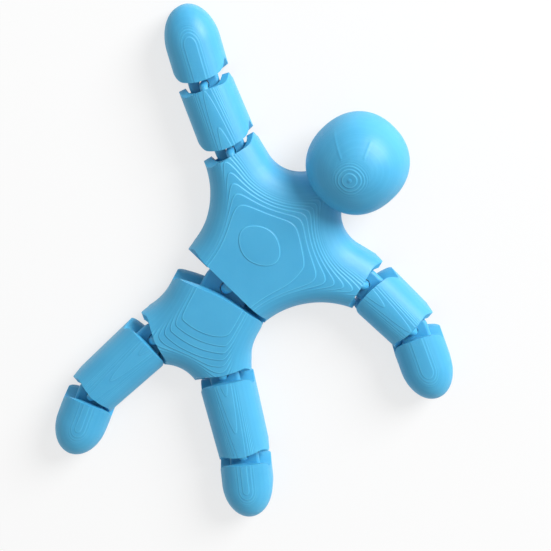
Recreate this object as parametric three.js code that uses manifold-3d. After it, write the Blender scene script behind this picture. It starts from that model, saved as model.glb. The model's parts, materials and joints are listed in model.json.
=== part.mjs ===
// A print-in-place jointed figure: ten solid segments chained by nine loose loop links.
// Units are millimetres. The figure lies on its flat back.
// +Z is its front, +Y its head end and +X its left. The origin is at the middle of the chest's flat back.
import * as THREE from 'three';
import { mergeVertices } from 'three/addons/utils/BufferGeometryUtils.js';
import Module from 'manifold-3d';

// Common section: a limb has upright sides, a flattened half-round front and a small round at the flat back
const AXIS_HEIGHT = 7.1;
const FRONT_SHARE = 0.87;
const BACK_ROUND = 2.0;
const BLUE = 0x58b9ec;

// Half widths of the limbs where they start and end
const SHOULDER_RADIUS = 9.0;
const ELBOW_RADIUS = 8.5;
const HIP_RADIUS = 9.2;
const KNEE_RADIUS = 8.6;

// Lengths from pivot to pivot, and from the last pivot to the tip
const UPPER_ARM_LENGTH = 22.4;
const HAND_LENGTH = 25.4;
const THIGH_LENGTH = 29.4;
const FOOT_LENGTH = 23.2;
const TIP_LENGTH = 12.4;
const TIP_BLUNT = 0.03;

// Head: a ball, slightly squared as seen from the front
const HEAD_HALF_WIDTH = 15.7;
const HEAD_HALF_LENGTH = 16.1;
const HEAD_HALF_DEPTH = 15.9;
const HEAD_AHEAD = 41.4;
const HEAD_CENTRE_HEIGHT = 12.9;
const HEAD_SQUARENESS = 2.2;

// Chest outline, from the middle of the back
const CHEST_WAIST_HALF = 17.4;
const NECK_HALF = 6.0;
const SHOULDER_ASIDE = 30.7;
const SHOULDER_AHEAD = 15.0;
const ARM_SPREAD_DEG = 76;
const CHEST_SIDE_FILLET = 28;
const NECK_FILLET = 12;
const WAIST_BEHIND = 17.9;

// Pelvis outline, from the waist pivot
const PELVIS_WAIST_HALF = 16.6;
const HIP_ASIDE = 13.0;
const HIP_BELOW = 27.2;
const LEG_SPREAD_DEG = 40;
const PELVIS_SIDE_FILLET = 20;
const CROTCH_FILLET = 12;

// Front of the trunk: rounded edges that blend into a low crown
const TRUNK_FRONT = 16.16;
const EDGE_BLEND = 4.5;
const CHEST_SIDE_ROUND = 9.0;
const NECK_ROUND = 16;
const CHEST_CROWN_RADIUS = 700;
const CHEST_DOME = 0.13;
const CHEST_DOME_AHEAD = 1.0;
const CHEST_DOME_HALF_WIDTH = 13;
const CHEST_DOME_HALF_LENGTH = 5.5;
const PELVIS_ROUND = 9.2;
const PELVIS_CROWN_RADIUS = 320;
const PELVIS_FALL = 0.092;
const PELVIS_FALL_BEHIND = 14;
const PELVIS_FALL_EASE = 1.5;

// Loop links: an upright staple on the inner segment passes through a flat tongue on the outer one
const LIMB_BAR = 2.7;
const WAIST_BAR = 3.6;
const LINK_CLEARANCE = 0.6;
const RIM_CLEARANCE = 0.45;
const STAPLE_SINK = 0.55;
const LIMB_STAPLE_PITCH = 10.0;
const WAIST_STAPLE_PITCH = 9.8;
const LIMB_TONGUE_HALF = 5.0;
const WAIST_TONGUE_HALF = 8.0;
const LIMB_SOCKET_RADIUS = 6.7;
const WAIST_SOCKET_RADIUS = 8.9;
const SOCKET_WALL = 2.2;
const LIMB_GAP = 2.9;
const WAIST_GAP = 4.3;
const LIP = 2.4;
const LIP_HALF_HEIGHT = 5.5;
const EMBED = 2.6;
const STAPLE_CORNER = 1.9;

// Inner segments end in faces that fall away from their middle by these angles.
// The chest's edge at the waist is straight.
const SHOULDER_RELIEF_DEG = 0.5;
const ELBOW_RELIEF_DEG = 4.5;
const HIP_RELIEF_DEG = 3.0;
const KNEE_RELIEF_DEG = 4.5;

// Outer segments start with faces that are round as seen from the front
const ARM_END_RADIUS = 20;
const LEG_END_RADIUS = 36;
const PELVIS_END_RADIUS = 60;

// Bend of each joint as it lies, anticlockwise seen from the front
const WAIST_BEND_DEG = 17;
const LEFT_SHOULDER_BEND_DEG = -13;
const LEFT_ELBOW_BEND_DEG = -25.5;
const RIGHT_SHOULDER_BEND_DEG = -9.5;
const RIGHT_ELBOW_BEND_DEG = -5.5;
const LEFT_HIP_BEND_DEG = 1;
const LEFT_KNEE_BEND_DEG = -7.5;
const RIGHT_HIP_BEND_DEG = 21.5;
const RIGHT_KNEE_BEND_DEG = 25;

// Smoothness of the round faces
const FRONT_STEPS = 14;
const BACK_STEPS = 3;
const TIP_STEPS = 8;
const BAR_SIDES = 8;
const BAR_STEPS = 16;
const SOCKET_SIDES = 24;
const END_SIDES = 72;
const HEAD_SIDES = 32;
const HEAD_RINGS = 20;
const LIP_STEPS = 8;
const WALL_POINTS = 16;
const WALL_SAMPLES = 300;
const CAP_POINTS = 7;
const DOME_RINGS = [0.985, 0.955, 0.91, 0.85, 0.77, 0.67, 0.54, 0.38, 0.2];
const FAR = 12;
const ROOM = 200;
const QUARTER_TURN_DEG = 90;

const wasm = await Module();
wasm.setup();
const radians = THREE.MathUtils.degToRad;

// Solids

function solid(geometry, matrix = new THREE.Matrix4()) {
  const bare = geometry.clone().applyMatrix4(matrix);
  bare.deleteAttribute('normal');
  bare.deleteAttribute('uv');
  const welded = mergeVertices(bare, 1e-4);
  return new wasm.Manifold(new wasm.Mesh({
    numProp: 3,
    vertProperties: welded.attributes.position.array,
    triVerts: new Uint32Array(welded.index.array),
  }));
}

function named(name, body) {
  const { vertProperties, triVerts } = body.getMesh();
  const geometry = new THREE.BufferGeometry();
  geometry.setAttribute('position', new THREE.BufferAttribute(vertProperties, 3));
  geometry.setIndex(new THREE.BufferAttribute(triVerts, 1));
  geometry.computeVertexNormals();
  const material = new THREE.MeshStandardMaterial({ color: BLUE, roughness: 0.45, metalness: 0 });
  const mesh = new THREE.Mesh(geometry, material);
  mesh.name = name;
  return mesh;
}

// Closed skin over a stack of rings with the same number of points, closed by a fan at each end
function skin(rings, firstCentre, lastCentre) {
  const count = rings[0].length;
  const points = [...rings.flat(), firstCentre, lastCentre];
  const first = points.length - 2;
  const last = points.length - 1;
  const top = (rings.length - 1) * count;
  const index = [];
  for (let i = 0; i < count; i += 1) {
    const next = (i + 1) % count;
    index.push(first, next, i, last, top + i, top + next);
    for (let row = 0; row < top; row += count) {
      index.push(row + i, row + next, row + count + next);
      index.push(row + i, row + count + next, row + count + i);
    }
  }
  const geometry = new THREE.BufferGeometry().setFromPoints(points);
  geometry.setIndex(index);
  return geometry;
}

// Bar of round section along a path of points with rounded corners
function bar(corners, diameter, bend) {
  const path = new THREE.CurvePath();
  let from = corners[0];
  for (let i = 1; i < corners.length - 1; i += 1) {
    const into = corners[i].clone().lerp(corners[i - 1], bend / corners[i].distanceTo(corners[i - 1]));
    const out = corners[i].clone().lerp(corners[i + 1], bend / corners[i].distanceTo(corners[i + 1]));
    path.add(new THREE.LineCurve3(from, into));
    path.add(new THREE.QuadraticBezierCurve3(into, corners[i], out));
    from = out;
  }
  path.add(new THREE.LineCurve3(from, corners[corners.length - 1]));
  const section = new THREE.Shape().absarc(0, 0, diameter / 2, 0, 2 * Math.PI);
  const outline = new THREE.Shape(section.getSpacedPoints(BAR_SIDES).slice(0, BAR_SIDES));
  return new THREE.ExtrudeGeometry(outline, { steps: BAR_STEPS, extrudePath: path, bevelEnabled: false });
}

function upright(radius, low, high) {
  const post = new THREE.CylinderGeometry(radius, radius, high - low, SOCKET_SIDES);
  return post.rotateX(Math.PI / 2).translate(0, 0, (low + high) / 2);
}

// Limbs

// Section of a limb across its run, at x along it
function limbSection(x, radius) {
  const round = Math.min(BACK_ROUND, radius / 2);
  const points = [];
  for (let i = 0; i <= FRONT_STEPS; i += 1) {
    const turn = (Math.PI * i) / FRONT_STEPS;
    const rise = FRONT_SHARE * radius * Math.sin(turn);
    points.push(new THREE.Vector3(x, radius * Math.cos(turn), AXIS_HEIGHT + rise));
  }
  for (const side of [-1, 1]) {
    for (let i = 0; i <= BACK_STEPS; i += 1) {
      const turn = (Math.PI / 2) * (side < 0 ? i / BACK_STEPS : 1 - i / BACK_STEPS);
      const aside = side * (radius - round + round * Math.cos(turn));
      points.push(new THREE.Vector3(x, aside, round - round * Math.sin(turn)));
    }
  }
  return points;
}

function limbFrom(stations, matrix) {
  const rings = stations.map(([x, radius]) => limbSection(x, radius));
  const [firstX] = stations[0];
  const [lastX] = stations[stations.length - 1];
  const centre = (x) => new THREE.Vector3(x, 0, AXIS_HEIGHT / 2);
  return solid(skin(rings, centre(firstX), centre(lastX)), matrix);
}

// Straight limb that runs past both of its pivots, to be trimmed by the joints
function straightLimb(length, startRadius, endRadius) {
  const slope = (endRadius - startRadius) / length;
  return limbFrom([[-FAR, startRadius - slope * FAR], [length + FAR, endRadius + slope * FAR]]);
}

// Limb that ends in a bullet-shaped tip
function tippedLimb(length, radius) {
  const stations = [[-FAR, radius]];
  for (let i = 0; i <= TIP_STEPS; i += 1) {
    const turn = (Math.PI / 2) * (i / TIP_STEPS) * (1 - TIP_BLUNT);
    stations.push([length - TIP_LENGTH * (1 - Math.sin(turn)), radius * Math.cos(turn)]);
  }
  return limbFrom(stations);
}

// Trunk pieces

// Wall of the outline: two straight runs with a round between them
function wall(from, corner, to, radius) {
  const inward = from.clone().sub(corner).normalize();
  const outward = to.clone().sub(corner).normalize();
  const half = Math.acos(inward.dot(outward)) / 2;
  const bisector = inward.clone().add(outward).normalize();
  const centre = corner.clone().addScaledVector(bisector, radius / Math.sin(half));
  const start = corner.clone().addScaledVector(inward, radius / Math.tan(half)).sub(centre);
  const end = corner.clone().addScaledVector(outward, radius / Math.tan(half)).sub(centre);
  const arc = [];
  for (let i = 0; i <= WALL_POINTS; i += 1) {
    const blend = start.clone().lerp(end, i / WALL_POINTS).normalize();
    arc.push(centre.clone().addScaledVector(blend, radius));
  }
  const reach = [...arc].filter((point) => point.distanceTo(corner) <= to.distanceTo(corner));
  return new THREE.Path([from, ...reach, to]);
}

function mirrored(path) {
  const points = path.getPoints().map((point) => new THREE.Vector2(-point.x, point.y));
  return new THREE.Path(points.reverse());
}

// Slab inside a ring of walls, each with the width of its rounded front edge, under a crown.
// The ends of the walls are open: the joints trim them.
function roundedSlab(walls, rounds, crown) {
  const fine = walls.map((path) => path.getSpacedPoints(WALL_SAMPLES));
  const inset = (point, i) => Math.sqrt(Math.min(...fine[i].map((near) => near.distanceToSquared(point))));
  const front = (point) => {
    const crowding = rounds.reduce((sum, round, i) => sum + (inset(point, i) / round) ** -EDGE_BLEND, 0);
    const depth = Math.min(1, crowding ** (-1 / EDGE_BLEND));
    return AXIS_HEIGHT + (crown(point) - AXIS_HEIGHT) * Math.sqrt(1 - (1 - depth) ** 2);
  };
  const outline = [];
  walls.forEach((path, i) => {
    const points = path.getSpacedPoints(WALL_POINTS);
    const next = walls[(i + 1) % walls.length].getPoint(0);
    outline.push(...points);
    for (let k = 1; k <= CAP_POINTS; k += 1) {
      outline.push(points[WALL_POINTS].clone().lerp(next, k / (CAP_POINTS + 1)));
    }
  });
  const centre = new THREE.Vector2();
  outline.forEach((point) => centre.addScaledVector(point, 1 / outline.length));
  const ring = (height, share) => outline.map((point) => {
    const moved = centre.clone().lerp(point, share(point));
    return new THREE.Vector3(moved.x, moved.y, typeof height === 'number' ? height : height(moved));
  });
  const rings = [];
  for (let i = 0; i <= BACK_STEPS; i += 1) {
    const turn = (Math.PI / 2) * (i / BACK_STEPS);
    const drawn = BACK_ROUND * (1 - Math.sin(turn));
    rings.push(ring(BACK_ROUND * (1 - Math.cos(turn)), (point) => 1 - drawn / point.distanceTo(centre)));
  }
  rings.push(ring(AXIS_HEIGHT, () => 1));
  DOME_RINGS.forEach((share) => rings.push(ring(front, () => share)));
  const low = new THREE.Vector3(centre.x, centre.y, 0);
  const high = new THREE.Vector3(centre.x, centre.y, front(centre));
  return solid(skin(rings, low, high));
}

// Joints: each is modelled round its pin, with +X running out along the limb

function linkSizes(barDiameter, ridge, pitch, gap) {
  const farFace = barDiameter / 2 + RIM_CLEARANCE;
  const top = ridge - STAPLE_SINK - barDiameter / 2;
  return {
    bar: barDiameter,
    top,
    bottom: top - pitch,
    tongueHeight: top - pitch / 2,
    holeRadius: barDiameter / 2 + LINK_CLEARANCE,
    nearFace: farFace - gap,
    farFace,
  };
}

function limbLink(radius, reliefDeg, endRadius) {
  return {
    ...linkSizes(LIMB_BAR, AXIS_HEIGHT + FRONT_SHARE * radius, LIMB_STAPLE_PITCH, LIMB_GAP),
    tongueHalf: LIMB_TONGUE_HALF,
    socketRadius: LIMB_SOCKET_RADIUS,
    halfWidth: radius,
    relief: radians(reliefDeg),
    endRadius,
  };
}

function waistLink() {
  return {
    ...linkSizes(WAIST_BAR, TRUNK_FRONT, WAIST_STAPLE_PITCH, WAIST_GAP),
    tongueHalf: WAIST_TONGUE_HALF,
    socketRadius: WAIST_SOCKET_RADIUS,
    halfWidth: CHEST_WAIST_HALF,
    relief: 0,
    endRadius: PELVIS_END_RADIUS,
  };
}

// How far an end face swells, from its back to its front: most at the height of the limb's axis
function lipProfile() {
  const profile = [];
  for (let i = 0; i <= LIP_STEPS; i += 1) {
    const share = (2 * i) / LIP_STEPS - 1;
    const swell = (LIP * (1 + Math.cos(Math.PI * share))) / 2;
    profile.push({ height: AXIS_HEIGHT + LIP_HALF_HEIGHT * share, swell });
  }
  return profile;
}

// Everything beyond an inner segment's lipped face
function beyondFace(link, turn) {
  const reach = FAR + link.halfWidth;
  const top = AXIS_HEIGHT + 2 * link.halfWidth;
  const profile = [new THREE.Vector2(reach, top), new THREE.Vector2(reach, -FAR)];
  profile.push(new THREE.Vector2(link.nearFace, -FAR));
  lipProfile().forEach(({ height, swell }) => {
    profile.push(new THREE.Vector2(link.nearFace + swell, height));
  });
  profile.push(new THREE.Vector2(link.nearFace, top));
  const depth = 2 * (link.halfWidth + EMBED);
  const block = new THREE.ExtrudeGeometry(new THREE.Shape(profile), { depth, bevelEnabled: false });
  return block.rotateX(Math.PI / 2).translate(0, depth / 2, 0).rotateZ(turn);
}

// Everything within an outer segment's round, hollowed face
function withinFace(link, matrix) {
  const centre = link.farFace + link.endRadius;
  const ring = (height, radius) => {
    const circle = new THREE.Path().absarc(centre, 0, radius, 0, 2 * Math.PI);
    const points = circle.getSpacedPoints(END_SIDES).slice(0, END_SIDES);
    return points.map((point) => new THREE.Vector3(point.x, point.y, height));
  };
  const rings = lipProfile().map(({ height, swell }) => ring(height, link.endRadius - swell));
  rings.unshift(ring(-FAR, link.endRadius));
  rings.push(ring(ROOM, link.endRadius));
  const disc = skin(rings, new THREE.Vector3(centre, 0, -FAR), new THREE.Vector3(centre, 0, ROOM));
  const rest = new THREE.BoxGeometry(ROOM, ROOM, 2 * ROOM).translate(centre + ROOM / 2, 0, 0);
  return solid(disc, matrix).add(solid(rest, matrix));
}

// Hollow in an inner segment's end, under a roof that follows the limb's front
function socket(link, matrix) {
  const inside = link.halfWidth - SOCKET_WALL;
  const hollow = solid(upright(link.socketRadius, link.bottom, link.top), matrix);
  return hollow.intersect(limbFrom([[-FAR, inside], [FAR, inside]], matrix));
}

// Inner segment's end: a lipped face with a socket for the tongue, and a staple across its mouth
function stapleEnd(body, link, matrix) {
  const root = -(link.socketRadius + EMBED);
  const staple = bar([
    new THREE.Vector3(root, 0, link.top),
    new THREE.Vector3(0, 0, link.top),
    new THREE.Vector3(0, 0, link.bottom),
    new THREE.Vector3(root, 0, link.bottom),
  ], link.bar, STAPLE_CORNER);
  const ends = [link.relief, -link.relief].map((turn) => solid(beyondFace(link, turn), matrix));
  const hollowed = body.subtract(ends[0]).subtract(ends[1]).subtract(socket(link, matrix));
  return hollowed.add(solid(staple, matrix));
}

// Outer segment's start: a hollowed face that carries the tongue, whose round end turns about the pin
function tongueEnd(body, link, matrix) {
  const root = link.farFace + LIP + EMBED;
  const outline = new THREE.Shape().absarc(0, 0, link.tongueHalf, Math.PI / 2, 1.5 * Math.PI);
  outline.lineTo(root, -link.tongueHalf).lineTo(root, link.tongueHalf);
  outline.holes.push(new THREE.Path().absarc(0, 0, link.holeRadius, 0, 2 * Math.PI));
  const plate = { depth: link.bar, bevelEnabled: false, curveSegments: SOCKET_SIDES / 2 };
  const tongue = new THREE.ExtrudeGeometry(outline, plate);
  tongue.translate(0, 0, link.tongueHeight - link.bar / 2);
  return body.intersect(withinFace(link, matrix)).add(solid(tongue, matrix));
}

function at(x, y, degrees) {
  return new THREE.Matrix4().makeRotationZ(radians(degrees)).setPosition(x, y, 0);
}

const links = {
  shoulder: limbLink(SHOULDER_RADIUS, SHOULDER_RELIEF_DEG, ARM_END_RADIUS),
  elbow: limbLink(ELBOW_RADIUS, ELBOW_RELIEF_DEG, ARM_END_RADIUS),
  hip: limbLink(HIP_RADIUS, HIP_RELIEF_DEG, LEG_END_RADIUS),
  knee: limbLink(KNEE_RADIUS, KNEE_RELIEF_DEG, LEG_END_RADIUS),
  waist: waistLink(),
};
const HERE = new THREE.Matrix4();

// Pieces

// Point beside a limb's axis: so far along it from the pivot, and so far to its left
function beside(pivot, degrees, along, left) {
  const turned = new THREE.Vector2(along, left).rotateAround(new THREE.Vector2(), radians(degrees));
  return turned.add(pivot);
}

function meeting(a, b, x) {
  return new THREE.Vector2(x, a.y + ((b.y - a.y) * (x - a.x)) / (b.x - a.x));
}

function headBall() {
  const ball = new THREE.SphereGeometry(1, HEAD_SIDES, HEAD_RINGS).rotateX(Math.PI / 2);
  const place = ball.attributes.position;
  const point = new THREE.Vector3();
  for (let i = 0; i < place.count; i += 1) {
    point.fromBufferAttribute(place, i);
    const radius = Math.hypot(point.x, point.y);
    const power = Math.abs(point.x) ** HEAD_SQUARENESS + Math.abs(point.y) ** HEAD_SQUARENESS;
    const wider = radius > 0 ? radius * power ** (-1 / HEAD_SQUARENESS) : 1;
    place.setXY(i, point.x * wider, point.y * wider);
  }
  ball.scale(HEAD_HALF_WIDTH, HEAD_HALF_LENGTH, HEAD_HALF_DEPTH);
  ball.translate(0, HEAD_AHEAD, HEAD_CENTRE_HEIGHT);
  const bed = new THREE.BoxGeometry(4 * HEAD_HALF_WIDTH, 4 * HEAD_HALF_LENGTH, 2 * HEAD_HALF_DEPTH);
  return solid(ball).subtract(solid(bed.translate(0, HEAD_AHEAD, -HEAD_HALF_DEPTH)));
}

function chestBody() {
  const armTurn = QUARTER_TURN_DEG - ARM_SPREAD_DEG;
  const shoulder = new THREE.Vector2(SHOULDER_ASIDE, SHOULDER_AHEAD);
  const under = beside(shoulder, armTurn, FAR, -SHOULDER_RADIUS);
  const over = beside(shoulder, armTurn, FAR, SHOULDER_RADIUS);
  const underLine = beside(shoulder, armTurn, 0, -SHOULDER_RADIUS);
  const overLine = beside(shoulder, armTurn, 0, SHOULDER_RADIUS);
  const side = wall(
    new THREE.Vector2(CHEST_WAIST_HALF, -WAIST_BEHIND - FAR),
    meeting(underLine, under, CHEST_WAIST_HALF), under, CHEST_SIDE_FILLET,
  );
  const neck = wall(
    over, meeting(overLine, over, NECK_HALF), new THREE.Vector2(NECK_HALF, HEAD_AHEAD), NECK_FILLET,
  );
  const crown = ({ x, y }) => {
    const ahead = (y - CHEST_DOME_AHEAD) / CHEST_DOME_HALF_LENGTH;
    const dome = CHEST_DOME * Math.exp(-(ahead ** 2) - (x / CHEST_DOME_HALF_WIDTH) ** 2);
    return TRUNK_FRONT + dome - x ** 2 / (2 * CHEST_CROWN_RADIUS);
  };
  const walls = [side, neck, mirrored(neck), mirrored(side)];
  let body = roundedSlab(walls, [CHEST_SIDE_ROUND, NECK_ROUND, NECK_ROUND, CHEST_SIDE_ROUND], crown);
  body = body.add(headBall());
  body = stapleEnd(body, links.shoulder, at(SHOULDER_ASIDE, SHOULDER_AHEAD, armTurn));
  const otherTurn = 2 * QUARTER_TURN_DEG - armTurn;
  body = stapleEnd(body, links.shoulder, at(-SHOULDER_ASIDE, SHOULDER_AHEAD, otherTurn));
  return stapleEnd(body, links.waist, at(0, -WAIST_BEHIND, -QUARTER_TURN_DEG));
}

function pelvisBody() {
  const legTurn = LEG_SPREAD_DEG - QUARTER_TURN_DEG;
  const hip = new THREE.Vector2(HIP_ASIDE, -HIP_BELOW);
  const outer = beside(hip, legTurn, FAR, HIP_RADIUS);
  const inner = beside(hip, legTurn, FAR, -HIP_RADIUS);
  const outerLine = beside(hip, legTurn, 0, HIP_RADIUS);
  const innerLine = beside(hip, legTurn, 0, -HIP_RADIUS);
  const side = wall(
    outer, meeting(outerLine, outer, PELVIS_WAIST_HALF), new THREE.Vector2(PELVIS_WAIST_HALF, FAR),
    PELVIS_SIDE_FILLET,
  );
  const across = new THREE.Vector2(-inner.x, inner.y);
  const crotch = wall(across, meeting(innerLine, inner, 0), inner, CROTCH_FILLET);
  const crown = ({ x, y }) => {
    const beyond = Math.exp((-y - PELVIS_FALL_BEHIND) / PELVIS_FALL_EASE);
    const fall = PELVIS_FALL * PELVIS_FALL_EASE * Math.log(1 + beyond);
    return TRUNK_FRONT - fall - x ** 2 / (2 * PELVIS_CROWN_RADIUS);
  };
  const walls = [side, mirrored(side), crotch];
  let body = roundedSlab(walls, walls.map(() => PELVIS_ROUND), crown);
  body = tongueEnd(body, links.waist, at(0, 0, -QUARTER_TURN_DEG));
  body = stapleEnd(body, links.hip, at(HIP_ASIDE, -HIP_BELOW, legTurn));
  const otherTurn = 2 * QUARTER_TURN_DEG - legTurn;
  return stapleEnd(body, links.hip, at(-HIP_ASIDE, -HIP_BELOW, otherTurn));
}

function middleSegment(length, startRadius, endRadius, startLink, endLink) {
  const limb = tongueEnd(straightLimb(length, startRadius, endRadius), startLink, HERE);
  return stapleEnd(limb, endLink, at(length, 0, 0));
}

function endSegment(length, radius, link) {
  return tongueEnd(tippedLimb(length, radius), link, HERE);
}

// Assembly: each group turns about its own pin

function hinged(parent, x, y, degrees, mesh) {
  const group = new THREE.Group();
  group.position.set(x, y, 0);
  group.rotation.z = radians(degrees);
  group.add(mesh);
  parent.add(group);
  return group;
}

const figure = new THREE.Group();
figure.add(named('head_and_chest', chestBody()));
const hips = hinged(figure, 0, -WAIST_BEHIND, WAIST_BEND_DEG, named('pelvis', pelvisBody()));

const arms = [
  ['left', 1, LEFT_SHOULDER_BEND_DEG, LEFT_ELBOW_BEND_DEG],
  ['right', -1, RIGHT_SHOULDER_BEND_DEG, RIGHT_ELBOW_BEND_DEG],
];
for (const [name, side, shoulderBend, elbowBend] of arms) {
  const rest = QUARTER_TURN_DEG - side * ARM_SPREAD_DEG;
  const upperArm = middleSegment(
    UPPER_ARM_LENGTH, SHOULDER_RADIUS, ELBOW_RADIUS, links.shoulder, links.elbow,
  );
  const hand = endSegment(HAND_LENGTH, ELBOW_RADIUS, links.elbow);
  const arm = hinged(figure, side * SHOULDER_ASIDE, SHOULDER_AHEAD, rest + shoulderBend,
    named(`${name}_upper_arm`, upperArm));
  hinged(arm, UPPER_ARM_LENGTH, 0, elbowBend, named(`${name}_hand`, hand));
}

const legs = [
  ['left', 1, LEFT_HIP_BEND_DEG, LEFT_KNEE_BEND_DEG],
  ['right', -1, RIGHT_HIP_BEND_DEG, RIGHT_KNEE_BEND_DEG],
];
for (const [name, side, hipBend, kneeBend] of legs) {
  const rest = side * LEG_SPREAD_DEG - QUARTER_TURN_DEG;
  const thigh = middleSegment(THIGH_LENGTH, HIP_RADIUS, KNEE_RADIUS, links.hip, links.knee);
  const foot = endSegment(FOOT_LENGTH, KNEE_RADIUS, links.knee);
  const leg = hinged(hips, side * HIP_ASIDE, -HIP_BELOW, rest + hipBend, named(`${name}_thigh`, thigh));
  hinged(leg, THIGH_LENGTH, 0, kneeBend, named(`${name}_foot`, foot));
}

export default figure;
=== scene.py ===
"""Looks for a print-in-place jointed figure that lies on its flat back.

Each segment is rebuilt as it was printed: its front rises in layers, whose edges are thin beads.
It is then trimmed at its joints and gets its staples and tongues.
Sizes are in millimetres unless a heading says metres, and a finished segment is scaled to metres.
"""

import json
import math

import bpy
import numpy as np
from mathutils import Matrix, Vector


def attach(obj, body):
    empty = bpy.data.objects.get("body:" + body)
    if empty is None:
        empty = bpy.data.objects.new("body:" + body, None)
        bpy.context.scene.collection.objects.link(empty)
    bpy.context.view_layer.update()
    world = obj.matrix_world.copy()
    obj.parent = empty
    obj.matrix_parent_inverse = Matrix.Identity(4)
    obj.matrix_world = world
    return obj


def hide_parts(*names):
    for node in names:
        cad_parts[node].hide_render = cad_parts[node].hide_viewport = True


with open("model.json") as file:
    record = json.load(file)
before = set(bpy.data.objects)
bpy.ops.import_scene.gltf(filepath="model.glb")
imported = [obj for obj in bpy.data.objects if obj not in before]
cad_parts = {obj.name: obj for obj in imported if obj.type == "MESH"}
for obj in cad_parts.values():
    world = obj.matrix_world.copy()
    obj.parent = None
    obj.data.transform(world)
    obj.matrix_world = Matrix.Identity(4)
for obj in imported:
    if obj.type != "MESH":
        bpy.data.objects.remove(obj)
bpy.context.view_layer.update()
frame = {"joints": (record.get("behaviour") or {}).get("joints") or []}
MM = 0.001
PIVOTS = {joint["name"]: Vector(joint["pos_m"]) / MM for joint in frame["joints"]}

# Common section
AXIS_HEIGHT = 7.1
FRONT_SHARE = 0.87
BACK_ROUND = 2.0

# Half widths of the limbs, and lengths from pivot to pivot or tip
SHOULDER_RADIUS = 9.0
ELBOW_RADIUS = 8.5
HIP_RADIUS = 9.2
KNEE_RADIUS = 8.6
HAND_LENGTH = 25.4
FOOT_LENGTH = 23.2
TIP_LENGTH = 12.4

# Head: a nodding ball with two seams on its front, and a dab where the print ended.
# Its flat back lies just above the chest's, so that the two aren't in one plane.
HEAD_HALF = np.array([15.7, 16.1, 15.9])
HEAD_CENTRE = np.array([0, 41.4, 12.9])
HEAD_SQUARENESS = 2.2
HEAD_TILT = 14
HEAD_BACK = 0.04
HEAD_SEAMS = [((-6.7, 2.5), (-13.0, 4.5)), ((-1.9, 7.9), (-3.7, 11.6))]
SEAM_RISE = 0.12
SEAM_WIDTH = 0.4
DAB_RADIUS = 0.7
DAB_RISE = 0.12

# Chest and pelvis outlines
CHEST_WAIST_HALF = 17.4
NECK_HALF = 6.0
ARM_SPREAD = 76
CHEST_SIDE_FILLET = 28
NECK_FILLET = 12
PELVIS_WAIST_HALF = 16.6
HIP_ASIDE = 13.0
HIP_BELOW = 27.2
LEG_SPREAD = 40
PELVIS_SIDE_FILLET = 20
CROTCH_FILLET = 12

# Front of the trunk: rounded edges that blend into a low crown
TRUNK_FRONT = 16.16
EDGE_BLEND = 4.5
CHEST_SIDE_ROUND = 9.0
NECK_ROUND = 16.0
CHEST_CROWN_RADIUS = 550
CHEST_CROWN_ASIDE = -3.5
CHEST_DOME = 0.13
CHEST_DOME_PLACE = np.array([-2.5, 1.0])
CHEST_DOME_HALF = np.array([13.0, 5.5])
PELVIS_ROUND = 9.2
PELVIS_CROWN_RADIUS = 280
PELVIS_CROWN_ASIDE = -2
PELVIS_FALL = 0.092
PELVIS_FALL_BEHIND = 14
PELVIS_FALL_EASE = 1.5
PELVIS_CENTRE_BEHIND = 8

# Loop links
LIMB_BAR = 2.7
WAIST_BAR = 3.6
LINK_CLEARANCE = 0.35
RIM_CLEARANCE = 0.45
STAPLE_SINK = 0.55
LIMB_STAPLE_CORNER = 1.9
WAIST_STAPLE_CORNER = 3.2
LIMB_STAPLE_PITCH = 10.0
WAIST_STAPLE_PITCH = 9.8
LIMB_TONGUE_HALF = 5.0
WAIST_TONGUE_HALF = 8.0
TONGUE_RIM = 1.2
LIMB_SOCKET_RADIUS = 6.7
WAIST_SOCKET_RADIUS = 8.9
SOCKET_WALL = 2.2
LIMB_GAP = 2.9
WAIST_GAP = 4.3
LIP = 2.4
LIP_HALF_HEIGHT = 5.5
EMBED = 2.6
RELIEF = {"shoulder": 0.5, "elbow": 4.5, "hip": 3.0, "knee": 4.5, "waist": 0}
END_RADIUS = {"shoulder": 20, "elbow": 20, "hip": 36, "knee": 36, "waist": 60}

# Bend of each joint as it lies, in degrees, anticlockwise seen from the front
BEND = {
    "waist": 17,
    "left_shoulder": -13, "left_elbow": -25.5, "right_shoulder": -9.5, "right_elbow": -5.5,
    "left_hip": 1, "left_knee": -7.5, "right_hip": 21.5, "right_knee": 25,
}

# Printed layers: their height, and the bead along the edge of each. A bead's points go inwards from its
# foot. Each has its distance from the edge, the most of a tread that it may take, its height in layers, its
# lift and its tone. The tone is painted light: a painted highlight along the bead's crest and painted shade
# at its foot. Edges melt into the slope, fully where treads are narrow. Low down, up to a share of the
# front's rise, the sides are too steep for steps. A ray counts as crossing an edge at least this squarely.
LAYER = 0.24
BEAD = [
    (-0.36, -0.5, -0.5, 0.0, 0.0),
    (-0.08, -0.2, -0.5, 0.0, -0.3),
    (0.06, 0.1, 0.38, 0.0, 0.45),
    (0.22, 0.32, 0.5, 0.05, 1.5),
    (0.40, 0.6, 0.5, -0.015, 0.0),
    (0.52, 0.8, 0.5, 0.0, 0.0),
]
TRUNK_STEPS = 0.68
LIMB_STEPS = 0.4
NARROW_TREAD = 0.5
WIDE_TREAD = 1.0
STEEP_SHARE = 0.55
LEAST_SQUARE = 0.3

# How far outlines run on past a joint before they are trimmed, a length past everything, and lengths too
# small to matter
FAR = 12
ROOM = 200
TINY = 1e-9
LEAST_DEPTH = 1e-6

# Fineness of the meshes
WALL_STEP = 0.45
CAP_STEP = 0.3
ARC_POINTS = 60
BACK_RINGS = 6
STEEP_RINGS = 14
RAY_POINTS = 170
HEAD_LOW_RINGS = 40
HEAD_POINTS = 320
RIM_POINTS = 9
BAR_SIDES = 24
BAR_STEP = 0.25
LIP_POINTS = 33
SOCKET_SIDES = 96
END_SIDES = 720
SHARP_DEGREES = 55
FLAT_BACK = 0.9999

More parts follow.
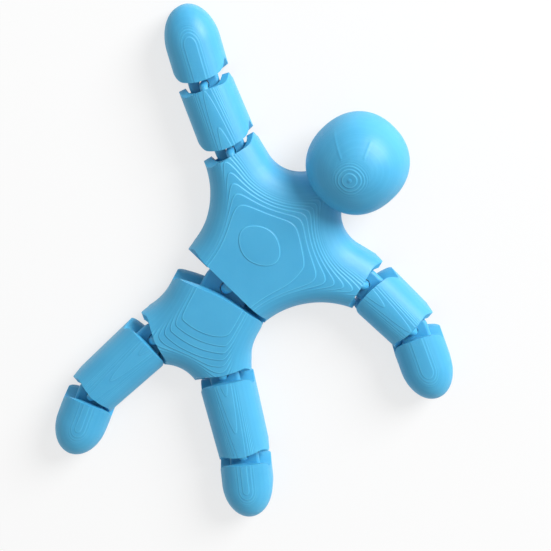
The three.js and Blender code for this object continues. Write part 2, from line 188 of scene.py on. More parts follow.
# Camera: as the photograph was taken, how much the picture spans at the target, and its clipping in metres
VIEW_AZIMUTH = -143.8
VIEW_ELEVATION = 74.8
VIEW_ROLL = -170.8
VIEW_DISTANCE = 450
VIEW_WIDTH = 178.9
VIEW_TARGET = (8.3, -3.6, 10.1)
CLIP_START = 0.01
CLIP_END = 20

# Plastic: its deepest and palest tones, and how much each cause moves the tone between them: the
# plastic's own cloudy and per-layer tone, the painted highlight and shade along the bead edges, and the
# painted shade in the grooves between the side layers
DEEP_BLUE = (0.044, 0.355, 0.635, 1)
PALE_BLUE = (0.105, 0.535, 0.83, 1)
BASE_TONE = 0.17
CLOUD_TONE = 0.5
LAYER_TONE = 0.14
# Painted highlight along the bead crests and painted shade at their feet
BEAD_LIGHT_AND_SHADE = 0.9
# Painted shade in the grooves between the side layers, paler at each layer's middle
GROOVE_SHADE_TONE = 0.16

# Noise in the plastic, per metre, and its roughness
CLOUD_SCALE = 70
CLOUD_DETAIL = 3
GRAIN_SCALE = 1400
GRAIN_DETAIL = 2
BASE_ROUGHNESS = 0.33
CLOUD_ROUGHNESS = 0.1
GRAIN_ROUGHNESS = 0.16

# Relief: how far up a surface faces where it counts as flat or steep, the strokes on flat tops, and heights
FLAT_FACING = (0.8, 0.97)
STEEP_FACING = (0.75, 0.35)
STROKE = 0.42
SIDE_BEAD = 0.02
STROKE_BEAD = 0.006
GRAIN_BEAD = 0.008

# Light inside the plastic: its share, how far each colour goes, and the length that this is a share of
INNER_LIGHT = 0.35
INNER_REACH = (0.5, 0.85, 1.0)
SPREAD = 0.9

# Light, with the lamp's distance and size in metres and its place to the right of and above the camera
WHITE = (1, 1, 1, 1)
SKY_STRENGTH = 0.44
KEY_WATTS = 29
KEY_DISTANCE = 1.6
KEY_SIZE = 0.9
KEY_RIGHT = 0.9
KEY_UP = 0.6

# Floor: its half size in metres, its finish, how much of it is seen as plain white, and how far it lies
# below the figure
FLOOR_HALF = 2
FLOOR_COLOUR = (0.93, 0.93, 0.93, 1)
FLOOR_ROUGHNESS = 0.9
FLOOR_WHITE = 0.7
FLOOR_DROP = 0.05


# Meshes

def mesh_object(name, points, faces):
    mesh = bpy.data.meshes.new(name)
    mesh.from_pydata(points.tolist(), [], faces)
    made = bpy.data.objects.new(name, mesh)
    bpy.context.scene.collection.objects.link(made)
    return made


def skin(name, rings, painted_light=None):
    """Closed skin over a stack of rings, with a flat start and a fan at its end.

    The rings are an array of rows by points by 3. The painted light, one value for each point, puts a
    painted highlight along the bead edges where it is above 0 and painted shade where it is below 0.
    """
    rows, count = rings.shape[:2]
    points = np.vstack([rings.reshape(-1, 3), rings[-1].mean(0)])
    here = np.arange(count)
    after = np.roll(here, -1)
    faces = [here[::-1].tolist()]
    top = (rows - 1) * count
    faces += [(rows * count, top + a, top + b) for a, b in zip(here.tolist(), after.tolist())]
    for row in range(rows - 1):
        low = row * count
        high = low + count
        quads = np.stack([low + here, low + after, high + after, high + here], 1)
        faces += quads.tolist()
    made = mesh_object(name, points, faces)
    if painted_light is not None:
        # Painted highlight and painted shade of the bead edges, kept on the points for the material
        held = made.data.attributes.new("bead_painted_light", "FLOAT", "POINT")
        held.data.foreach_set("value", np.append(painted_light.ravel(), 0))
    return made


def circle(radius, sides):
    turn = np.linspace(0, 2 * math.pi, sides, endpoint=False)
    return np.column_stack([np.cos(turn), np.sin(turn)]) * radius


def raised(outline, height):
    """The points of an outline at this height."""
    return np.column_stack([outline, np.full(len(outline), height)])


def prism(name, outline, low, high, turn=None):
    """Upright prism over an outline of (x, y) points, turned afterwards by a matrix if one is given."""
    count = len(outline)
    faces = [list(range(count - 1, -1, -1)), list(range(count, 2 * count))]
    for i in range(count):
        after = (i + 1) % count
        faces.append([i, after, count + after, count + i])
    made = mesh_object(name, np.vstack([raised(outline, low), raised(outline, high)]), faces)
    if turn is not None:
        made.data.transform(turn)
    return made


def tube(name, path, normal, diameter):
    """Round bar along a path that stays in the plane with this normal."""
    path = resample(path, BAR_STEP)
    along = np.gradient(path, axis=0)
    along /= np.linalg.norm(along, axis=1, keepdims=True)
    side = np.cross(normal, along)
    turn = np.linspace(0, 2 * math.pi, BAR_SIDES, endpoint=False)[None, :, None]
    ring = np.cos(turn) * side[:, None] + np.sin(turn) * np.asarray(normal, float)
    return skin(name, path[:, None] + ring * diameter / 2)


def resample(path, step):
    """The same path with points at even steps."""
    lengths = np.linalg.norm(np.diff(path, axis=0), axis=1)
    travelled = np.concatenate([[0], np.cumsum(lengths)])
    count = max(2, round(travelled[-1] / step) + 1)
    places = np.linspace(0, travelled[-1], count)
    return np.column_stack([np.interp(places, travelled, path[:, axis]) for axis in range(path.shape[1])])


def smoothstep(value):
    held = np.clip(value, 0, 1)
    return held * held * (3 - 2 * held)


def rounded_back(outline, inward):
    """Rings from the flat back over its small round, and up the sides."""
    rings = []
    for turn in np.linspace(0, math.pi / 2, BACK_RINGS):
        flat = outline + inward * BACK_ROUND * (1 - math.sin(turn))
        rings.append(raised(flat, BACK_ROUND * (1 - math.cos(turn))))
    rings.append(raised(outline, AXIS_HEIGHT))
    return rings


def printed(name, below, outline, centre, front, steps):
    """Skin as it was printed: the rings below, then a front that rises in layers inside the outline.

    The front falls along every ray from the centre to the outline, so each height has one edge on each ray.
    Steps says how much of each layer's edge is left as a step, from 0 to 1.
    """
    spoke = outline - centre
    reach = np.linalg.norm(spoke, axis=1)
    away = np.linspace(1, 0, RAY_POINTS)
    rays = centre + spoke[:, None] * (1 - away ** 2)[None, :, None]
    height = front(rays.reshape(-1, 2)).reshape(len(outline), RAY_POINTS)
    base = below[-1][0, 2]
    top = height[:, 0].max()
    rows = np.arange(len(outline))

    def edge(level):
        """How far out along each ray the front is this high, as a share of the ray."""
        past = height < level
        after = np.where(past.any(1), past.argmax(1), RAY_POINTS - 1)
        before = np.maximum(after - 1, 0)
        drop = height[rows, before] - height[rows, after]
        part = np.clip((height[rows, before] - level) / np.maximum(drop, TINY), 0, 1)
        gap = away[before] + (away[after] - away[before]) * part
        return np.where(past.any(1), 1 - gap ** 2, 1.0)

    def ring(share, heights):
        return np.column_stack([centre + spoke * share[:, None], heights])

    def slant(share):
        """How squarely each ray crosses the edge."""
        line = centre + spoke * share[:, None]
        along = np.roll(line, -1, 0) - np.roll(line, 1, 0)
        along /= np.maximum(np.linalg.norm(along, axis=1, keepdims=True), TINY)
        across = spoke[:, 0] * along[:, 1] - spoke[:, 1] * along[:, 0]
        return np.maximum(np.abs(across) / reach, LEAST_SQUARE)

    rings = list(below)
    # Painted highlight and painted shade for each ring; the rings below get none
    painted_light = [np.zeros(len(outline)) for _ in below]
    start = math.ceil((base + STEEP_SHARE * (top - base)) / LAYER)
    for level in np.linspace(base, (start - 0.5) * LAYER, STEEP_RINGS + 1)[1:-1]:
        rings.append(ring(edge(level), np.full(len(outline), level)))
        painted_light.append(np.zeros(len(outline)))
    for layer in range(start, math.ceil(top / LAYER + 0.5)):
        middle = (layer - 0.5) * LAYER
        if middle >= top:
            break
        here = edge(middle)
        square = slant(here)
        inside = here - edge(middle + LAYER)
        outside = edge(middle - LAYER) - here
        tread = edge(middle - LAYER / 2) - edge(middle + LAYER / 2)
        width = tread * reach * square
        clear = smoothstep((width - NARROW_TREAD) / (WIDE_TREAD - NARROW_TREAD))
        for place, (away_in, most, rise, lift, tone) in enumerate(BEAD):
            room = inside if most > 0 else outside
            wanted = away_in / (reach * square)
            moved = np.sign(most) * np.minimum(np.abs(wanted), np.abs(most) * room)
            level = middle + LAYER * ((place + 0.5) / len(BEAD) - 0.5)
            share = edge(level) + clear * (here - moved - edge(level))
            sloped = front(centre + spoke * share[:, None])
            rings.append(ring(share, sloped + clear * steps * (middle + rise * LAYER - sloped + lift)))
            # The bead's painted highlight or painted shade, faded where its edge melts into the slope
            painted_light.append(clear * steps * tone)
    return skin(name, np.array(rings), np.array(painted_light))


# Limbs

def limb(name, walls, centre, half_width):
    """Limb with upright sides, a flattened half-round front and small rounds at its flat back."""
    def front(flat):
        rise = np.maximum(half_width(flat[:, 0]) ** 2 - flat[:, 1] ** 2, 0)
        return AXIS_HEIGHT + FRONT_SHARE * np.sqrt(rise)

    outline, inward = loop(walls)
    return printed(name, rounded_back(outline, inward), outline, centre, front, LIMB_STEPS)


def straight_limb(name, length, start_radius, end_radius):
    def half_width(x):
        return start_radius + (end_radius - start_radius) * x / length

    ends = np.array([-FAR, length + FAR])
    lower = np.column_stack([ends, -half_width(ends)])
    walls = [lower, lower[::-1] * [1, -1]]
    return limb(name, walls, np.array([CAP_STEP - FAR, 0]), half_width)


def tipped_limb(name, length, radius):
    shank = length - TIP_LENGTH

    def half_width(x):
        return radius * np.sqrt(1 - np.clip((x - shank) / TIP_LENGTH, 0, 1) ** 2)

    turn = np.linspace(0, math.pi / 2, ARC_POINTS)
    tip = np.column_stack([shank + TIP_LENGTH * np.sin(turn), -radius * np.cos(turn)])
    lower = np.vstack([[-FAR, -radius], tip])
    walls = [np.vstack([lower, lower[-2::-1] * [1, -1]])]
    return limb(name, walls, np.array([shank / 2, 0]), half_width)


# Trunk

def unit(vector):
    return vector / np.linalg.norm(vector)


def wall(start, corner, end, radius):
    """Edge of an outline: two straight runs with a round between them."""
    into = unit(start - corner)
    out = unit(end - corner)
    half = math.acos(into @ out) / 2
    centre = corner + unit(into + out) * radius / math.sin(half)
    share = np.linspace(0, 1, ARC_POINTS)[:, None]
    spoke = corner + (into * (1 - share) + out * share) * radius / math.tan(half) - centre
    arc = centre + spoke * radius / np.linalg.norm(spoke, axis=1, keepdims=True)
    kept = arc[np.linalg.norm(arc - corner, axis=1) <= np.linalg.norm(end - corner)]
    return np.vstack([start, kept, end])


def mirrored(path):
    return path[::-1] * [-1, 1]


def loop(walls):
    """Closed outline through these walls, with straight ends between them, and each point's way inwards."""
    runs = [resample(path, WALL_STEP) for path in walls]
    ways = []
    for run in runs:
        along = np.gradient(run, axis=0)
        along /= np.linalg.norm(along, axis=1, keepdims=True)
        ways.append(np.column_stack([-along[:, 1], along[:, 0]]))
    points = []
    inward = []
    for i, run in enumerate(runs):
        after = (i + 1) % len(runs)
        end = resample(np.vstack([run[-1], runs[after][0]]), CAP_STEP)[1:-1]
        share = np.linspace(0, 1, len(end) + 2)[1:-1, None]
        points += [run, end]
        inward += [ways[i], ways[i][-1] * (1 - share) + ways[after][0] * share]
    return np.vstack(points), np.vstack(inward)


def distance(flat, path):
    """How far each point is from a path of straight runs."""
    nearest = np.full(len(flat), np.inf)
    for start, end in zip(path, path[1:]):
        run = end - start
        share = np.clip((flat - start) @ run / max(run @ run, TINY), 0, 1)
        nearest = np.minimum(nearest, np.linalg.norm(flat - start - share[:, None] * run, axis=1))
    return nearest


def rounded_slab(name, walls, rounds, crown, centre):
    """Slab inside a ring of walls, each with the width of its rounded front edge, under a crown."""
    def front(flat):
        near = [np.maximum(distance(flat, path), LEAST_DEPTH) / wide for path, wide in zip(walls, rounds)]
        depth = np.minimum(sum(share ** -EDGE_BLEND for share in near) ** (-1 / EDGE_BLEND), 1)
        return AXIS_HEIGHT + (crown(flat) - AXIS_HEIGHT) * np.sqrt(1 - (1 - depth) ** 2)

    outline, inward = loop(walls)
    return printed(name, rounded_back(outline, inward), outline, centre, front, TRUNK_STEPS)


def beside(pivot, degrees, along, left):
    """Point so far along a limb's axis from its pivot, and so far to its left."""
    turn = math.radians(degrees)
    return np.array([
        pivot[0] + along * math.cos(turn) - left * math.sin(turn),
        pivot[1] + along * math.sin(turn) + left * math.cos(turn),
    ])


def meeting(a, b, x):
    return np.array([x, a[1] + (b[1] - a[1]) * (x - a[0]) / (b[0] - a[0])])


def head(name):
    """Nodding ball, slightly squared as seen from the front, and flat where it lay on the bed."""
    ring = circle(1, HEAD_POINTS)
    wider = (np.abs(ring) ** HEAD_SQUARENESS).sum(1, keepdims=True) ** (-1 / HEAD_SQUARENESS)
    widest = ring * wider * HEAD_HALF[:2]
    below = []
    for turn in np.linspace(-math.pi / 2, 0, HEAD_LOW_RINGS + 1)[1:]:
        below.append(raised(widest * math.cos(turn), HEAD_HALF[2] * math.sin(turn)))

    def front(flat):
        share = (np.abs(flat / HEAD_HALF[:2]) ** HEAD_SQUARENESS).sum(1)
        ball = HEAD_HALF[2] * np.sqrt(1 - np.minimum(share ** (2 / HEAD_SQUARENESS), 1))
        seams = [np.exp(-(distance(flat, np.array(run)) / SEAM_WIDTH) ** 2) for run in HEAD_SEAMS]
        return ball + SEAM_RISE * sum(seams)

    ball = printed(name, below, widest, np.zeros(2), front, TRUNK_STEPS)
    spread = np.linspace(1, 0, RIM_POINTS, endpoint=False)
    swell = HEAD_HALF[2] + DAB_RISE * (1 - spread ** 2)
    rings = []
    for wide, rise in [(1, HEAD_HALF[2] - LAYER), *zip(spread, swell)]:
        rings.append(raised(circle(DAB_RADIUS * wide, SOCKET_SIDES), rise))
    ball = worked(ball, [("UNION", skin("dab", np.array(rings)))])
    ball.data.transform(Matrix.Translation(HEAD_CENTRE) @ Matrix.Rotation(math.radians(HEAD_TILT), 4, "X"))
    room = prism("room", ROOM * np.array([[-1, -1], [1, -1], [1, 1], [-1, 1]]), HEAD_BACK, ROOM)
    return worked(ball, [("INTERSECT", room)])


# Joints: each is made round its pin, with +X running out along the limb

def lip():
    """Heights on an end face, and how far it swells there: most at the height of the limb's axis."""
    share = np.linspace(-1, 1, LIP_POINTS)
    return AXIS_HEIGHT + LIP_HALF_HEIGHT * share, LIP * (1 + np.cos(math.pi * share)) / 2


def disc(radius, low, high):
    return prism("disc", circle(radius, SOCKET_SIDES), low, high)


class Link:
    """Sizes of one loop link: an upright staple on the inner segment, a flat tongue on the outer one."""

    def __init__(self, kind, bar, pitch, gap, ridge, half_width):
        self.bar = bar
        self.half_width = half_width
        self.top = ridge - STAPLE_SINK - bar / 2
        self.bottom = self.top - pitch
        self.tongue_height = self.top - pitch / 2
        self.tongue_half = WAIST_TONGUE_HALF if kind == "waist" else LIMB_TONGUE_HALF
        self.hole_radius = bar / 2 + LINK_CLEARANCE
        self.corner = WAIST_STAPLE_CORNER if kind == "waist" else LIMB_STAPLE_CORNER
        self.socket_radius = WAIST_SOCKET_RADIUS if kind == "waist" else LIMB_SOCKET_RADIUS
        self.far_face = bar / 2 + RIM_CLEARANCE
        self.near_face = self.far_face - gap
        self.relief = RELIEF[kind]
        self.end_radius = END_RADIUS[kind]

    def beyond(self, degrees):
        """Everything past the inner segment's lipped face."""
        reach = FAR + self.half_width
        roof = AXIS_HEIGHT + 2 * self.half_width
        level, swell = lip()
        profile = np.vstack([
            [self.near_face, roof],
            np.column_stack([self.near_face + swell, level])[::-1],
            [[self.near_face, -FAR], [reach, -FAR], [reach, roof]],
        ])
        half = self.half_width + EMBED
        turn = Matrix.Rotation(math.radians(degrees), 4, "Z") @ Matrix.Rotation(math.pi / 2, 4, "X")
        return prism("beyond", profile, -half, half, turn)

    def within(self):
        """Everything within the outer segment's round, hollowed face."""
        middle = np.array([self.far_face + self.end_radius, 0])
        level, swell = lip()
        rings = []
        for height, drawn in [(-FAR, 0), *zip(level, swell), (ROOM, 0)]:
            rings.append(raised(middle + circle(self.end_radius - drawn, END_SIDES), height))
        corners = middle + ROOM * np.array([[0, -1], [1, -1], [1, 1], [0, 1]])
        rest = prism("rest", corners, -ROOM, ROOM)
        return worked(skin("within", np.array(rings)), [("UNION", rest)])

    def socket(self):
        """Hollow in the inner segment's end, under a roof that follows the limb's front."""
        inside = self.half_width - SOCKET_WALL
        turn = np.linspace(0, math.pi, ARC_POINTS)
        arch = np.column_stack([np.cos(turn), np.sin(turn) * FRONT_SHARE]) * inside + [0, AXIS_HEIGHT]
        section = np.vstack([arch, [[-inside, 0], [inside, 0]]])
        lie = Matrix(((0, 0, 1, 0), (1, 0, 0, 0), (0, 1, 0, 0), (0, 0, 0, 1)))
        room = prism("room", section, -FAR, FAR, lie)
        return worked(disc(self.socket_radius, self.bottom, self.top), [("INTERSECT", room)])

    def staple(self):
        """Round bar: out of the socket's back at the top, down along the pin, and back in at the bottom."""
        root = -(self.socket_radius + EMBED)
        turn = np.linspace(0, math.pi / 2, ARC_POINTS)
        corner = np.column_stack([
            -self.corner * (1 - np.sin(turn)),
            self.top - self.corner * (1 - np.cos(turn)),
        ])
        below = np.column_stack([corner[::-1, 0], self.top + self.bottom - corner[::-1, 1]])
        flat = np.vstack([[root, self.top], corner, below, [root, self.bottom]])
        path = np.column_stack([flat[:, 0], np.zeros(len(flat)), flat[:, 1]])
        return tube("staple", path, (0, 1, 0), self.bar)

    def tongue(self):
        """Flat plate with rounded rims, out of the outer segment's face, with a hole round the pin."""
        root = self.far_face + LIP + EMBED
        turn = np.linspace(math.pi / 2, 1.5 * math.pi, ARC_POINTS)
        rim = np.linspace(0, math.pi / 2, RIM_POINTS)
        inset = TONGUE_RIM * (1 - np.sin(rim))
        below = -self.bar / 2 + TONGUE_RIM * (1 - np.cos(rim))
        rings = []
        for drawn, level in [*zip(inset, below), *zip(inset[::-1], -below[::-1])]:
            half = self.tongue_half - drawn
            bow = np.column_stack([np.cos(turn), np.sin(turn)]) * half
            flat = np.vstack([bow, [root, -half], [root, half]])
            rings.append(raised(flat, self.tongue_height + level))
        plate = skin("tongue", np.array(rings))
        hole = disc(self.hole_radius, self.tongue_height - self.bar, self.tongue_height + self.bar)
        return worked(plate, [("DIFFERENCE", hole)])


def limb_link(kind, radius):
    ridge = AXIS_HEIGHT + FRONT_SHARE * radius
    return Link(kind, LIMB_BAR, LIMB_STAPLE_PITCH, LIMB_GAP, ridge, radius)


LINKS = {
    "shoulder": limb_link("shoulder", SHOULDER_RADIUS),
    "elbow": limb_link("elbow", ELBOW_RADIUS),
    "hip": limb_link("hip", HIP_RADIUS),
    "knee": limb_link("knee", KNEE_RADIUS),
    "waist": Link("waist", WAIST_BAR, WAIST_STAPLE_PITCH, WAIST_GAP, TRUNK_FRONT, CHEST_WAIST_HALF),
}


def at(x, y, degrees):
    return Matrix.Translation((x, y, 0)) @ Matrix.Rotation(math.radians(degrees), 4, "Z")


def staple_end(kind, place):
    """Inner segment's end: what to cut away and what to add, as (operation, object) pairs."""
    link = LINKS[kind]
    cuts = [link.beyond(link.relief), link.beyond(-link.relief), link.socket()]
    return placed([("DIFFERENCE", cut) for cut in cuts] + [("UNION", link.staple())], place)


def tongue_end(kind, place):
    """Outer segment's start: a round, hollowed face, and the tongue that turns about the pin."""
    link = LINKS[kind]
    return placed([("INTERSECT", link.within()), ("UNION", link.tongue())], place)


def placed(steps, place):
    for _, tool in steps:
        tool.data.transform(place)
    return steps


def worked(body, steps):
    """The body after its cuts and additions."""
    for operation, tool in steps:
        change = body.modifiers.new("work", "BOOLEAN")
        change.solver = "MANIFOLD"
        change.operation = operation
        change.object = tool
    bpy.context.view_layer.update()
    seen = body.evaluated_get(bpy.context.evaluated_depsgraph_get())
    result = bpy.data.meshes.new_from_object(seen)
    body.modifiers.clear()
    body.data = result
    for _, tool in steps:
        bpy.data.objects.remove(tool)
    return body


# Segments

def chest(name):
    arm_turn = 90 - ARM_SPREAD
    shoulder = PIVOTS["left_shoulder"]
    waist = PIVOTS["waist"]
    under = beside(shoulder, arm_turn, FAR, -SHOULDER_RADIUS)
    over = beside(shoulder, arm_turn, FAR, SHOULDER_RADIUS)
    under_line = beside(shoulder, arm_turn, 0, -SHOULDER_RADIUS)
    over_line = beside(shoulder, arm_turn, 0, SHOULDER_RADIUS)
    side = wall(
        np.array([CHEST_WAIST_HALF, waist.y - FAR]), meeting(under_line, under, CHEST_WAIST_HALF), under,
        CHEST_SIDE_FILLET,
    )
    neck = wall(
        over, meeting(over_line, over, NECK_HALF), np.array([NECK_HALF, HEAD_CENTRE[1]]), NECK_FILLET,
    )

    def crown(flat):
        dome = CHEST_DOME * np.exp(-(((flat - CHEST_DOME_PLACE) / CHEST_DOME_HALF) ** 2).sum(1))
        return TRUNK_FRONT + dome - (flat[:, 0] - CHEST_CROWN_ASIDE) ** 2 / (2 * CHEST_CROWN_RADIUS)

    walls = [side, neck, mirrored(neck), mirrored(side)]
    rounds = [CHEST_SIDE_ROUND, NECK_ROUND, NECK_ROUND, CHEST_SIDE_ROUND]
    body = rounded_slab(name, walls, rounds, crown, CHEST_DOME_PLACE)
    steps = [("UNION", head("ball"))]
    steps += staple_end("shoulder", at(shoulder.x, shoulder.y, arm_turn))
    steps += staple_end("shoulder", at(-shoulder.x, shoulder.y, 180 - arm_turn))
    steps += staple_end("waist", at(0, waist.y, -90))
    return worked(body, steps)


def pelvis(name):
    leg_turn = LEG_SPREAD - 90
    hip = (HIP_ASIDE, -HIP_BELOW)
    outer = beside(hip, leg_turn, FAR, HIP_RADIUS)
    inner = beside(hip, leg_turn, FAR, -HIP_RADIUS)
    outer_line = beside(hip, leg_turn, 0, HIP_RADIUS)
    inner_line = beside(hip, leg_turn, 0, -HIP_RADIUS)
    side = wall(
        outer, meeting(outer_line, outer, PELVIS_WAIST_HALF), np.array([PELVIS_WAIST_HALF, FAR]),
        PELVIS_SIDE_FILLET,
    )
    crotch = wall(inner * [-1, 1], meeting(inner_line, inner, 0), inner, CROTCH_FILLET)

    def crown(flat):
        beyond = np.exp((-flat[:, 1] - PELVIS_FALL_BEHIND) / PELVIS_FALL_EASE)
        fall = PELVIS_FALL * PELVIS_FALL_EASE * np.log1p(beyond)
        return TRUNK_FRONT - fall - (flat[:, 0] - PELVIS_CROWN_ASIDE) ** 2 / (2 * PELVIS_CROWN_RADIUS)

    walls = [side, mirrored(side), crotch]
    body = rounded_slab(name, walls, [PELVIS_ROUND] * 3, crown, np.array([0, -PELVIS_CENTRE_BEHIND]))
    steps = tongue_end("waist", at(0, 0, -90))
    steps += staple_end("hip", at(HIP_ASIDE, -HIP_BELOW, leg_turn))
    steps += staple_end("hip", at(-HIP_ASIDE, -HIP_BELOW, 180 - leg_turn))
    return worked(body, steps)


def middle_segment(name, length, start, end):
    body = straight_limb(name, length, LINKS[start].half_width, LINKS[end].half_width)
    return worked(body, tongue_end(start, at(0, 0, 0)) + staple_end(end, at(length, 0, 0)))


def end_segment(name, length, joint):
    body = tipped_limb(name, length, LINKS[joint].half_width)
    return worked(body, tongue_end(joint, at(0, 0, 0)))


# Material

class Nodes:
    """Node tree of one material, with short ways to add to it."""

    def __init__(self, name):
        self.material = bpy.data.materials.new(name)
        self.material.use_nodes = True
        self.tree = self.material.node_tree
        self.shader = self.tree.nodes["Principled BSDF"]

    def add(self, kind, inputs=None, **settings):
        node = self.tree.nodes.new(f"ShaderNode{kind}")
        for name, value in settings.items():
            setattr(node, name, value)
        for socket, value in (inputs or {}).items():
            self.feed(value, node.inputs[socket])
        return node

    def feed(self, value, socket):
        if isinstance(value, bpy.types.NodeSocket):
            self.tree.links.new(value, socket)
        else:
            socket.default_value = value

    def math(self, operation, *values):
        return self.add("Math", dict(enumerate(values)), operation=operation).outputs[0]

    def noise(self, place, scale, detail):
        return self.add("TexNoise", {"Vector": place, "Scale": scale, "Detail": detail}).outputs["Fac"]

    def ease(self, value, low, high):
        """Smooth step from 0 at low to 1 at high, which may be the lower one."""
        inputs = {"Value": value, "From Min": low, "From Max": high}
        return self.add("MapRange", inputs, interpolation_type="SMOOTHSTEP").outputs["Result"]


def print_material():
    """Sky-blue printed plastic: stacked layers on the sides, fine strokes on the tops, a painted highlight
    and painted shade along the bead edges, and painted shade in the grooves between the side layers.
    """
    made = Nodes("blue_print")
    here = made.add("TexCoord")
    place = made.add("SeparateXYZ", {0: here.outputs["Object"]}).outputs
    facing = made.add("SeparateXYZ", {0: here.outputs["Normal"]}).outputs["Z"]
    layers = made.math("DIVIDE", place["Z"], LAYER * MM)
    flat = made.ease(facing, *FLAT_FACING)
    steep = made.ease(facing, *STEEP_FACING)

    side_wave = made.math("ABSOLUTE", made.math("SINE", made.math("MULTIPLY", layers, math.pi)))
    odd = made.math("MULTIPLY_ADD", made.math("MODULO", made.math("ROUND", layers), 2), 2, -1)
    across = made.math("MULTIPLY_ADD", place["Y"], odd, place["X"])
    stroke = made.math("MULTIPLY", across, math.pi / (math.sqrt(2) * STROKE * MM))
    top_wave = made.math("ABSOLUTE", made.math("SINE", stroke))
    cloud = made.noise(here.outputs["Object"], CLOUD_SCALE, CLOUD_DETAIL)
    grain = made.noise(here.outputs["Object"], GRAIN_SCALE, GRAIN_DETAIL)
    number = {"W": made.math("ROUND", layers)}
    each = made.add("TexWhiteNoise", number, noise_dimensions="1D").outputs["Value"]

    # Painted highlight and painted shade along the bead edges, read from the points
    bead_light_shade = made.add("Attribute", attribute_name="bead_painted_light").outputs["Fac"]
    tone = made.math("MULTIPLY_ADD", cloud, CLOUD_TONE, BASE_TONE)
    tone = made.math("MULTIPLY_ADD", each, LAYER_TONE, tone)
    # Adds the bead edges' painted highlight and painted shade to the tone
    tone = made.math("MULTIPLY_ADD", bead_light_shade, BEAD_LIGHT_AND_SHADE, tone)
    # Painted shade in the grooves between the side layers, paler at each layer's middle
    tone = made.math("MULTIPLY_ADD", made.math("MULTIPLY", steep, side_wave), GROOVE_SHADE_TONE, tone)
    colour = made.add("Mix", {"Factor": tone, "A": DEEP_BLUE, "B": PALE_BLUE}, data_type="RGBA")
    made.feed(colour.outputs["Result"], made.shader.inputs["Base Color"])
    rough = made.math("MULTIPLY_ADD", cloud, CLOUD_ROUGHNESS, BASE_ROUGHNESS)
    rough = made.math("MULTIPLY_ADD", grain, GRAIN_ROUGHNESS, rough)
    made.feed(rough, made.shader.inputs["Roughness"])

    height = made.math("MULTIPLY", made.math("MULTIPLY", side_wave, steep), SIDE_BEAD * MM)
    strokes = made.math("MULTIPLY", top_wave, flat)
    height = made.math("MULTIPLY_ADD", strokes, STROKE_BEAD * MM, height)
    height = made.math("MULTIPLY_ADD", grain, GRAIN_BEAD * MM, height)
    bump = made.add("Bump", {"Height": height, "Distance": 1.0})
    made.feed(bump.outputs["Normal"], made.shader.inputs["Normal"])
    made.shader.inputs["Subsurface Weight"].default_value = INNER_LIGHT
    made.shader.inputs["Subsurface Radius"].default_value = INNER_REACH
    made.shader.inputs["Subsurface Scale"].default_value = SPREAD * MM
    return made.material


# Assembly

PRINT = print_material()


def settle(build, node, body, joint, degrees, *sizes):
    """Build a segment, put it in its place on its body, and let it stand for the plain solid."""
    piece = build(f"{node}_print", *sizes)
    pivot = PIVOTS[joint] if joint else Vector((0, 0, 0))
    piece.data.transform(Matrix.Scale(MM, 4) @ at(pivot.x, pivot.y, degrees))
    faces = piece.data.polygons
    faces.foreach_set("use_smooth", [face.normal.z > -FLAT_BACK for face in faces])
    piece.data.set_sharp_from_angle(angle=math.radians(SHARP_DEGREES))
    piece.data.materials.clear()
    piece.data.materials.append(PRINT)
    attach(piece, body)
    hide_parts(node)


def settle_limb(side, inner, outer, start, end, degrees, tip_length):
    """Both segments of one arm or leg, whose first one points this way."""
    first = f"{side}_{start}"
    second = f"{side}_{end}"
    inner_node = f"{side}_{inner}"
    outer_node = f"{side}_{outer}"
    length = (PIVOTS[second] - PIVOTS[first]).length
    settle(middle_segment, inner_node, inner_node, first, degrees, length, start, end)
    settle(end_segment, outer_node, outer_node, second, degrees + BEND[second], tip_length, end)


settle(chest, "head_and_chest", "chest", None, 0)
settle(pelvis, "pelvis", "pelvis", "waist", BEND["waist"])
for side, sign in (("left", 1), ("right", -1)):
    arm = 90 - sign * ARM_SPREAD + BEND[f"{side}_shoulder"]
    leg = sign * LEG_SPREAD - 90 + BEND["waist"] + BEND[f"{side}_hip"]
    settle_limb(side, "upper_arm", "hand", "shoulder", "elbow", arm, HAND_LENGTH)
    settle_limb(side, "thigh", "foot", "hip", "knee", leg, FOOT_LENGTH)


# Stage

def view_axes():
    """The picture's right and up, and the way back to the camera."""
    azimuth = math.radians(VIEW_AZIMUTH)
    elevation = math.radians(VIEW_ELEVATION)
    level = math.cos(elevation)
    back = Vector((math.sin(azimuth) * level, -math.cos(azimuth) * level, math.sin(elevation)))
    turn = (-back).to_track_quat("-Z", "Y").to_matrix() @ Matrix.Rotation(math.radians(VIEW_ROLL), 3, "Z")
    return turn.col[0], turn.col[1], turn.col[2]


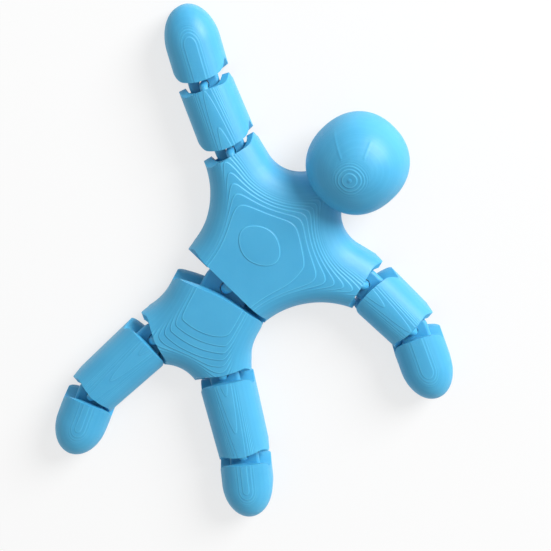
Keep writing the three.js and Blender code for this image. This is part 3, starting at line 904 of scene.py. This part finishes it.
def add_camera():
    right, up, back = view_axes()
    data = bpy.data.cameras.new("camera")
    data.lens = data.sensor_width * VIEW_DISTANCE / VIEW_WIDTH
    data.clip_start = CLIP_START
    data.clip_end = CLIP_END
    camera = bpy.data.objects.new("camera", data)
    place = Matrix((right, up, back)).transposed().to_4x4()
    place.translation = (Vector(VIEW_TARGET) + back * VIEW_DISTANCE) * MM
    camera.matrix_world = place
    bpy.context.scene.collection.objects.link(camera)
    bpy.context.scene.camera = camera


def add_lamp(name, direction, distance, size, watts):
    data = bpy.data.lights.new(name, "AREA")
    data.shape = "DISK"
    data.size = size
    data.energy = watts
    lamp = bpy.data.objects.new(name, data)
    way = direction.normalized()
    lamp.location = way * distance
    lamp.rotation_mode = "QUATERNION"
    lamp.rotation_quaternion = way.to_track_quat("Z", "Y")
    bpy.context.scene.collection.objects.link(lamp)


def add_floor():
    corners = FLOOR_HALF * np.array([[-1, -1, 0], [1, -1, 0], [1, 1, 0], [-1, 1, 0]])
    floor = mesh_object("floor", corners, [(0, 1, 2, 3)])
    floor.location.z = -FLOOR_DROP * MM
    made = Nodes("pale_floor")
    made.shader.inputs["Base Color"].default_value = FLOOR_COLOUR
    made.shader.inputs["Roughness"].default_value = FLOOR_ROUGHNESS
    seen = made.add("LightPath").outputs
    direct = made.math("MAXIMUM", seen["Is Camera Ray"], seen["Is Glossy Ray"])
    direct = made.math("MAXIMUM", direct, seen["Is Transmission Ray"])
    white = made.add("Emission", {"Color": WHITE, "Strength": 1})
    share = made.math("MULTIPLY", direct, FLOOR_WHITE)
    mixed = made.add("MixShader", {0: share, 1: made.shader.outputs[0], 2: white.outputs[0]})
    made.feed(mixed.outputs[0], made.tree.nodes["Material Output"].inputs["Surface"])
    floor.data.materials.append(made.material)


def add_world():
    world = bpy.data.worlds.new("studio")
    world.use_nodes = True
    sky = world.node_tree.nodes["Background"]
    sky.inputs["Color"].default_value = WHITE
    sky.inputs["Strength"].default_value = SKY_STRENGTH
    bpy.context.scene.world = world


add_camera()
add_floor()
add_world()
RIGHT, UP, BACK = view_axes()
add_lamp("key", BACK + RIGHT * KEY_RIGHT + UP * KEY_UP, KEY_DISTANCE, KEY_SIZE, KEY_WATTS)
bpy.context.scene.view_settings.view_transform = "Standard"
